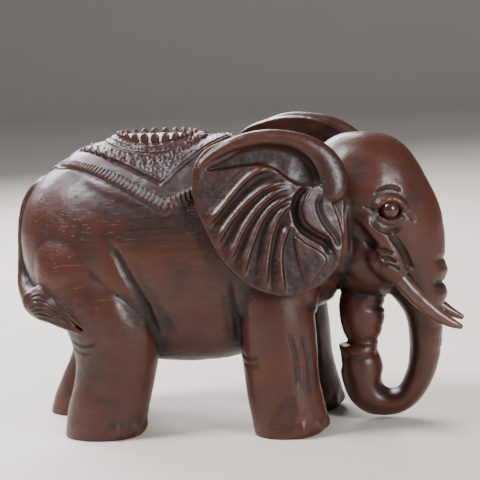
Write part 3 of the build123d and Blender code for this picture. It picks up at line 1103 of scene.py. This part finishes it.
@dataclass
class SaddleCloth:
    """Cloth cut into the back: a pointed flap on each flank, with a comb edge and tufts.

    Its lines are drawn as X and the distance round the barrel from the spine.
    """

    rear: Flat = ((-58.0, 6.0), (-53.0, 12.0), (-41.0, 20.5), (-30.0, 27.5), (-18.0, 35.0))
    front: Flat = ((-18.0, 35.0), (-5.0, 27.0), (4.0, 15.0), (8.0, 3.0))
    inner_rear: Flat = ((-52.0, 2.0), (-41.0, 12.0), (-31.0, 18.5), (-19.3, 25.0))
    inner_front: Flat = ((-19.3, 25.0), (-11.0, 16.5), (-3.0, 8.0), (1.0, 2.0))
    tuft_row: Flat = (
        (-49.0, 4.0), (-43.0, 9.5), (-36.0, 14.0), (-25.0, 16.6), (-18.7, 14.4), (-12.0, 8.0), (-8.0, 2.0)
    )
    relief: float = 0.5
    pad_centre: tuple[float, float] = (-24.3, 0.0)

    def carve(self, surface: Surface) -> None:
        """Cuts the cloth into the block."""
        edge = [
            (-60.0, -6.0), *self.rear[:-1], (-19.6, 34.2), (-18.0, 35.2), (-16.2, 34.2), *self.front[1:],
            (9.0, -6.0)
        ]
        surface.patch(View.GIRTH, [Patch(edge, self.relief, 0.25)])
        seam = [
            Stroke(self.rear, 0.7, -0.45, Edge.VEE, 0.05),
            Stroke(self.front, 0.7, -0.4, Edge.VEE, 0.05),
            Stroke(self.inner_rear, 0.75, -0.75, Edge.VEE, 0.05),
            Stroke([(x + 0.5, y - 1.1) for x, y in self.inner_rear], 0.5, 0.35, fade=0.05),
            Stroke(self.inner_front, 0.5, 0.5, fade=0.05),
            Stroke([(x - 0.9, y - 0.9) for x, y in self.inner_front], 0.5, 0.5, fade=0.05),
        ]
        surface.stroke(View.GIRTH, seam)
        surface.stroke(View.GIRTH, self.comb(self.rear, (0.72, -0.69), (0.50, -0.87)))
        surface.stroke(View.GIRTH, self.comb(self.front[::-1], (-0.3, -0.8), (-0.1, -1.0)))
        surface.stroke(View.GIRTH, self.tufts())
        field = [
            (-52.0, -4.0), (-50.0, 3.0), (-41.0, 10.4), (-31.0, 17.0), (-20.5, 23.0), (-12.0, 15.2),
            (-3.0, -4.0)
        ]
        surface.stipple(View.GIRTH, field, 1.5, 0.6, 0.22, seed=3)
        shoulder = [
            (-15.0, 33.0), (-5.0, 28.0), (3.0, 19.0), (9.0, 30.0), (8.0, 44.0), (2.0, 52.0), (-8.0, 46.0)
        ]
        surface.stipple(View.GIRTH, shoulder, 1.0, 0.5, 0.14, seed=4)
        rings = [Patch(self.oval(long, wide), 0.55, 0.22) for long, wide in ((17.4, 13.6), (15.6, 12.0))]
        surface.patch(View.TOP, rings)

    def oval(self, long: float, wide: float) -> Flat:
        """Oval about the pad's centre."""
        turns = [math.radians(15.0 * step) for step in range(24)]
        x, y = self.pad_centre
        return [(x + long * math.cos(turn), y + wide * math.sin(turn)) for turn in turns]

    def comb(self, edge: Flat, first: tuple[float, float], last: tuple[float, float]) -> list[Stroke]:
        """Ticks inside an edge, finer and shorter towards its start.

        Args:
            edge: The edge.
            first: Which way the ticks run at its start.
            last: Which way they run at its end.

        Returns:
            The ticks.
        """
        line = smooth_line(edge)
        walked = np.concatenate([[0.0], np.cumsum(np.linalg.norm(np.diff(line, axis=0), axis=1))])
        ticks = []
        place = 1.0
        while place < walked[-1] - 0.5:
            share = place / walked[-1]
            x, y = (np.interp(place, walked, line[:, axis]) for axis in (0, 1))
            way = [a + (b - a) * share for a, b in zip(first, last)]
            near, far = 0.7, 2.4 + 2.2 * share
            points = [(x + way[0] * reach, y + way[1] * reach) for reach in (near, far)]
            ticks.append(Stroke(points, 0.45 + 0.3 * share, 0.38 + 0.22 * share, fade=0.15))
            place += 1.1 + 0.75 * share
        return ticks

    def tufts(self) -> list[Stroke]:
        """Small raised chevrons in a row round the pad."""
        line = smooth_line(self.tuft_row)
        walked = np.concatenate([[0.0], np.cumsum(np.linalg.norm(np.diff(line, axis=0), axis=1))])
        marks = []
        for place in np.arange(1.5, walked[-1], 3.5):
            x, y = (np.interp(place, walked, line[:, axis]) for axis in (0, 1))
            for lean in (-0.8, 0.8):
                marks.append(Stroke([(x, y - 0.9), (x + lean, y + 1.1)], 0.5, 0.6, fade=0.1))
            marks.append(Stroke([(x + 1.6, y - 2.6), (x + 1.9, y - 1.7)], 0.5, 0.45, fade=0.1))
        return marks


@dataclass
class LotusPad(Piece):
    """Crown of upright petals on the back, round a domed pad."""

    centre: tuple[float, float] = (-24.3, 0.0)
    half_length: float = 13.0
    half_width: float = 9.9
    petals: int = 23
    top: float = 100.0

    def build(self, wood: bpy.types.Material) -> None:
        """Builds, carves and dresses the crown."""
        x, y = self.centre
        clay = Clay()
        clay.ball((x, y, 94.8), (self.half_length - 0.4, self.half_width - 0.4, 3.6))
        for petal in range(self.petals):
            turn = 2.0 * math.pi * (petal + 0.5) / self.petals
            out = (math.cos(turn) * self.half_width, math.sin(turn) * self.half_length)
            heading = math.degrees(math.atan2(out[1], out[0]))
            foot = (x + self.half_length * math.cos(turn), y + self.half_width * math.sin(turn))
            tall = 2.3 + 0.25 * math.sin(5.0 * petal)
            clay.ball((*foot, self.top - tall), (0.85, 1.5, tall), tilt=9.0, turn=heading)
        surface = Surface(clay.skin("lotus_pad", 0.24, 2))
        rings = []
        for share in (0.72, 0.42):
            ring = [math.radians(20.0 * step) for step in range(19)]
            line = [(x + share * 13.0 * math.cos(turn), y + share * 9.9 * math.sin(turn)) for turn in ring]
            rings.append(Stroke(line, 0.6, -0.5, Edge.VEE, 0.0))
        surface.stroke(View.TOP, rings)
        surface.tool(1.5, 0.12, seed=8.0)
        self.place(surface.mesh, wood, "dark_hardwood", "carved_body")


@dataclass
class Ear(Piece):
    """A leaf with a rolled rim, ribs that fan from its root and a curled lobe."""

    side: Side = Side.RIGHT
    hub: tuple[float, float, float] = (19.84, 22.09, 75.41)
    flare: float = 13.0
    lean: float = 11.0
    thickness: float = 3.3
    voxel: float = 0.34
    triangles: int = 110000
    edge: Flat = (
        (-28.2, 15.0), (-29.4, 7.0), (-27.8, -0.5), (-25.2, -7.5), (
            -21.6, -15.0
        ), (-16.8, -21.2), (-10.6, -25.8),
        (-1.5, -28.6), (6.9, -27.0), (12.6, -23.6), (16.8, -18.0), (18.8, -10.0), (19.0, -3.0), (19.3, 5.0),
        (18.8, 12.0), (14.4, 17.2), (7.5, 21.8), (0.0, 24.0), (-8.0, 24.4), (-16.0, 23.0), (-24.0, 20.0),
    )  # fmt: skip

    def frame(self) -> Matrix:
        """From the ear's own plane to the model's frame; it mirrors the left ear."""
        sign, flare, lean = self.side.value, math.radians(self.flare), math.radians(self.lean)
        ahead = Vector((math.cos(flare), -sign * math.sin(flare), 0.0))
        out = Vector(
            (math.sin(flare) * math.cos(lean), sign * math.cos(flare) * math.cos(lean), math.sin(lean))
        )
        up = out.cross(ahead) * -sign
        turn = Matrix((ahead, up, out)).transposed().to_4x4()
        return Matrix.Translation((self.hub[0], sign * self.hub[1], self.hub[2])) @ turn

    def build(self, wood: bpy.types.Material) -> None:
        """Builds, carves and dresses the ear."""
        name = "ear_" + self.side.name.lower()
        clay = Clay()
        clay.plate(self.edge, 0.0, self.thickness)
        self.add_roll(clay)
        self.add_lobe(clay)
        surface = Surface(clay.skin(name + "_leaf", self.voxel, 4))
        self.carve(surface)
        surface.tool(4.5, 0.12, seed=float(self.side.value))
        surface.tool(1.6, 0.05, seed=3.0)
        body = bmesh.new()
        body.from_mesh(surface.mesh)
        bmesh.ops.scale(body, vec=(1 / MM, 1 / MM, 1 / MM), verts=body.verts)
        bmesh.ops.transform(body, matrix=self.frame(), verts=body.verts)
        bmesh.ops.scale(body, vec=(MM, MM, MM), verts=body.verts)
        if self.side is Side.LEFT:
            bmesh.ops.reverse_faces(body, faces=body.faces)
        low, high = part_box(name)
        for vert in body.verts:
            vert.co.y = min(max(vert.co.y, low.y), high.y)
        body.to_mesh(surface.mesh)
        body.free()
        surface.mesh.update()
        self.place(thin_out(surface.mesh, self.triangles), wood, "dark_hardwood", name)

    def add_roll(self, clay: Clay) -> None:
        """Adds the rim that rolls over the top and swells down the front."""
        stations = (
            (
                -27.0, 10.5, 2.6, 0.9
            ), (-25.6, 15.2, 2.9, 1.3), (-19.0, 19.4, 3.2, 1.9), (-13.0, 21.6, 3.4, 2.3),
            (-7.0, 22.6, 3.5, 2.5), (-1.0, 22.4, 3.6, 2.6), (5.0, 21.0, 3.7, 2.9), (10.0, 18.2, 3.7, 3.7),
            (13.6, 14.4, 3.7, 4.4), (15.6, 10.0, 3.7, 4.8), (16.0, 5.8, 3.7, 4.6), (15.4, 2.6, 3.5, 3.5),
            (15.0, 0.6, 3.0, 1.6),
        )  # fmt: skip
        line = smooth_line(stations, steps=5)
        ways = np.gradient(line[:, :2], axis=0)
        clay.chain(
            Oval((u, v, w), (du, dv, 0.0), (0.0, 0.0, 1.0), radius, min(radius, 3.0))
            for (u, v, w, radius), (du, dv) in zip(line, ways)
        )

    def add_lobe(self, clay: Clay) -> None:
        """Adds the curled lobe in front of the ribs."""
        clay.plate(
            (
                (10.6, 6.4), (8.0, 4.4), (6.0, 1.6), (5.4, -2.0), (6.6, -5.6), (10.0, -8.4), (13.4, -10.6),
                (
                    15.8, -14.4
                ), (16.0, -18.0), (17.4, -15.5), (17.8, -10.0), (16.6, -4.0), (14.6, 1.0), (12.4, 4.6),
            ),
            1.0,
            5.2,
            slope=(-0.16, 0.05),
        )  # fmt: skip

    def carve(self, surface: Surface) -> None:
        """Cuts the hollow under the roll, the fan of ribs, the facet and the dark slot."""
        hollow = (
            (-24.0, 13.4), (-18.0, 16.0), (-13.5, 18.2), (-8.0, 19.4), (-3.0, 19.4), (3.0, 17.8), (7.4, 15.4),
            (10.0, 11.5), (10.8, 7.4), (7.4, 6.8), (4.0, 7.6), (1.0, 9.6), (-1.5, 11.8), (-6.0, 13.2), (
                -12.0, 14.0
            ),
            (-19.0, 13.2),
        )  # fmt: skip
        surface.patch(View.TOP, [Patch(hollow, -1.5, 0.7)])
        surface.dab(
            [Dab((7.0, 10.5, 2.0), (5.5, 7.0, 5.0), -1.0), Dab((-9.0, -4.0, 3.3), (16.0, 20.0, 6.0), -0.6)]
        )
        ribs = (
            ((-1.0, 12.0), (-6.5, 12.2), (-11.0, 10.2), (-15.5, 6.2), (-20.0, 1.2), (-26.4, -5.6)),
            (
                (2.5, 7.4), (-1.5, 7.6), (-6.5, 6.2), (-11.0, 3.2), (-15.0, -0.4), (-19.0, -5.0),
                (-23.8, -12.4)
            ),
            (
                (3.2, 6.0), (-1.5, 5.4), (-6.2, 2.6), (-10.0, -1.2), (-13.2, -5.4), (-15.8, -10.0),
                (-20.0, -18.0)
            ),
            (
                (4.4, 3.8), (0.0, 2.6), (-4.4, 0.0), (-7.6, -3.6), (-10.0, -8.0), (-12.4, -13.5),
                (-15.4, -22.4)
            ),
            (
                (3.6, 1.2), (-0.4, -0.8), (-3.2, -4.4), (-5.0, -9.0), (-6.2, -14.0), (-7.2, -19.0),
                (-8.0, -26.6)
            ),
            ((2.0, -4.6), (-0.6, -9.0), (-2.2, -14.0), (-2.6, -20.0), (-2.0, -28.4)),
        )
        surface.stroke(View.TOP, [Stroke(rib, 3.3, 1.4, Edge.PLEAT, 0.2) for rib in ribs])
        surface.stroke(View.TOP, [Stroke(rib, 1.4, 0.4, Edge.ROUND, 0.2) for rib in ribs])
        facet = (
            (2.6, -10.0), (6.5, -12.4), (10.5, -15.0), (12.4, -18.0), (9.5, -22.0), (6.0, -25.0), (3.6, -19.5)
        )
        surface.patch(View.TOP, [Patch(facet, 0.8, 0.4)])
        slot = (
            (8.6, 6.4), (5.4, 4.2), (3.6, 0.8), (3.4, -3.4), (5.2, -7.4), (9.2, -10.4), (12.6, -12.8),
            (13.8, -16.4)
        )
        surface.stroke(View.TOP, [Stroke(slot, 1.7, -1.7, Edge.ROUND, 0.1)])
        fold = ((11.6, 3.4), (10.6, -1.0), (12.4, -6.0), (15.6, -10.6), (16.8, -14.6))
        surface.stroke(View.TOP, [Stroke(fold, 1.4, -0.8, fade=0.15)])


@dataclass
class Tusk(Piece):
    """A curved peg of lighter wood."""

    side: Side = Side.RIGHT
    voxel: float = 0.3

    def build(self, wood: bpy.types.Material) -> None:
        """Builds and dresses the tusk."""
        name = "tusk_" + self.side.name.lower()
        clay = Clay()
        clay.node(name)
        surface = Surface(clay.skin(name + "_peg", self.voxel, 2))
        surface.tool(3.5, 0.12, seed=2.0 + self.side.value)
        self.place(surface.mesh, wood, "tusk_wood", name)


@dataclass
class Eye(Piece):
    """A round bead, polished."""

    side: Side = Side.RIGHT
    radius: float = 3.0

    def build(self, wood: bpy.types.Material) -> None:
        """Builds and dresses the bead."""
        name = "eye_" + self.side.name.lower()
        low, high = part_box(name)
        middle = (low + high) / 2 / MM
        outer = (high.y if self.side is Side.LEFT else low.y) / MM
        centre = Vector((middle.x - drift(), outer - self.side.value * self.radius, middle.z))
        body = bmesh.new()
        turn = Matrix.Rotation(math.radians(90.0), 4, "X")
        bmesh.ops.create_uvsphere(
            body, u_segments=64, v_segments=40, radius=self.radius, matrix=Matrix.Translation(centre) @ turn
        )
        bmesh.ops.scale(body, vec=(MM, MM, MM), verts=body.verts)
        mesh = bpy.data.meshes.new(name + "_bead")
        body.to_mesh(mesh)
        body.free()
        self.place(mesh, wood, "eye_bead", name)


@dataclass(frozen=True)
class Panel:
    """A soft rectangular light: sizes in metres, power in watts."""

    name: str
    place: tuple[float, float, float]
    wide: float
    tall: float
    power: float
    tint: Colour


@dataclass
class Stage:
    """Floor, lights, world and camera."""

    floor_reach: float = 3.0
    wall_distance: float = 1.4
    wall_height: float = 3.0
    cove: float = 0.8
    lens: float = 135.0
    sensor: float = 36.0
    distance: float = 0.6
    height: float = 0.149
    azimuth: float = 8.0
    aside: float = 0.0008
    roll: float = -2.5
    aim: tuple[float, float, float] = (0.0021, 0.0, 0.062)

    def build(self) -> None:
        """Sets up everything that isn't the object."""
        self.lay_floor()
        self.set_lights()
        self.set_camera()

    def lay_floor(self) -> None:
        """Lays a pale floor that curves up into a plain wall far behind."""
        body = bmesh.new()
        profile = [(-self.floor_reach, 0.0), (self.wall_distance, 0.0)]
        profile += [
            (self.wall_distance + self.cove * math.sin(turn), self.cove * (1.0 - math.cos(turn)))
            for turn in np.linspace(0.0, math.pi / 2, 17)[1:]
        ]
        profile.append((self.wall_distance + self.cove, self.wall_height))
        ends = (-self.floor_reach, self.floor_reach)
        rows = [[body.verts.new((x, y, z)) for x in ends] for y, z in profile]
        for (a, b), (c, d) in zip(rows, rows[1:]):
            bmesh.ops.contextual_create(body, geom=[a, b, d, c])
        bmesh.ops.recalc_face_normals(body, faces=body.faces)
        mesh = bpy.data.meshes.new("floor")
        body.to_mesh(mesh)
        body.free()
        for face in mesh.polygons:
            face.use_smooth = True
        mesh.materials.append(PlainFloor().make())
        floor = bpy.data.objects.new("floor", mesh)
        bpy.context.scene.collection.objects.link(floor)

    def set_lights(self) -> None:
        """Hangs three soft panels and a pale sky."""
        panels = (
            Panel("window_left", (-0.34, -0.14, 0.58), 0.20, 0.28, 9.0, (0.90, 0.92, 1.0)),
            Panel("window_right", (0.46, -0.42, 0.30), 0.14, 0.24, 5.0, (0.93, 0.95, 1.0)),
            Panel("window_back", (-0.30, 0.46, 0.44), 0.60, 0.30, 12.0, (0.90, 0.93, 1.0)),
        )
        for panel in panels:
            light = bpy.data.lights.new(panel.name, "AREA")
            light.shape = "RECTANGLE"
            light.size, light.size_y = panel.wide, panel.tall
            light.energy, light.color = panel.power, panel.tint
            lamp = bpy.data.objects.new(panel.name, light)
            bpy.context.scene.collection.objects.link(lamp)
            lamp.location = panel.place
            way = Vector(self.aim) - Vector(panel.place)
            lamp.rotation_euler = way.to_track_quat("-Z", "Y").to_euler()
        world = bpy.data.worlds.new("pale_sky")
        bpy.context.scene.world = world
        world.use_nodes = True
        sky = world.node_tree.nodes["Background"]
        sky.inputs["Color"].default_value = (0.80, 0.86, 0.95, 1.0)
        sky.inputs["Strength"].default_value = 0.26

    def set_camera(self) -> None:
        """Places the camera a little in front of square, looking slightly down."""
        turn = math.radians(self.azimuth)
        place = Vector((self.distance * math.sin(turn), -self.distance * math.cos(turn), self.height))
        place.x += self.aside
        ahead = (Vector(self.aim) - place).normalized()
        place.x += drift() * MM
        right = ahead.cross(Vector((0.0, 0.0, 1.0))).normalized()
        up = right.cross(ahead)
        lean = math.radians(self.roll)
        across = math.cos(lean) * right + math.sin(lean) * up
        upright = -math.sin(lean) * right + math.cos(lean) * up
        camera = bpy.data.cameras.new("camera")
        camera.lens, camera.sensor_width = self.lens, self.sensor
        camera.clip_start, camera.clip_end = 0.01, 20.0
        holder = bpy.data.objects.new("camera", camera)
        bpy.context.scene.collection.objects.link(holder)
        holder.matrix_world = Matrix.Translation(place) @ Matrix(
            (across, upright, -ahead)
        ).transposed().to_4x4()
        bpy.context.scene.camera = holder


def main() -> None:
    """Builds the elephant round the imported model."""
    logging.basicConfig(level=logging.INFO, format="%(name)s %(message)s")
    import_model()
    finishes = Finishes()
    Stage().build()
    Block().build(finishes.block)
    LotusPad().build(finishes.block)
    Ear(side=Side.RIGHT).build(finishes.ear)
    Ear(side=Side.LEFT, hub=(25.84, 22.09, 77.41)).build(finishes.ear)
    for side in Side:
        Tusk(side=side).build(finishes.tusk)
        Eye(side=side).build(finishes.eye)


if __name__ == "__main__":
    main()
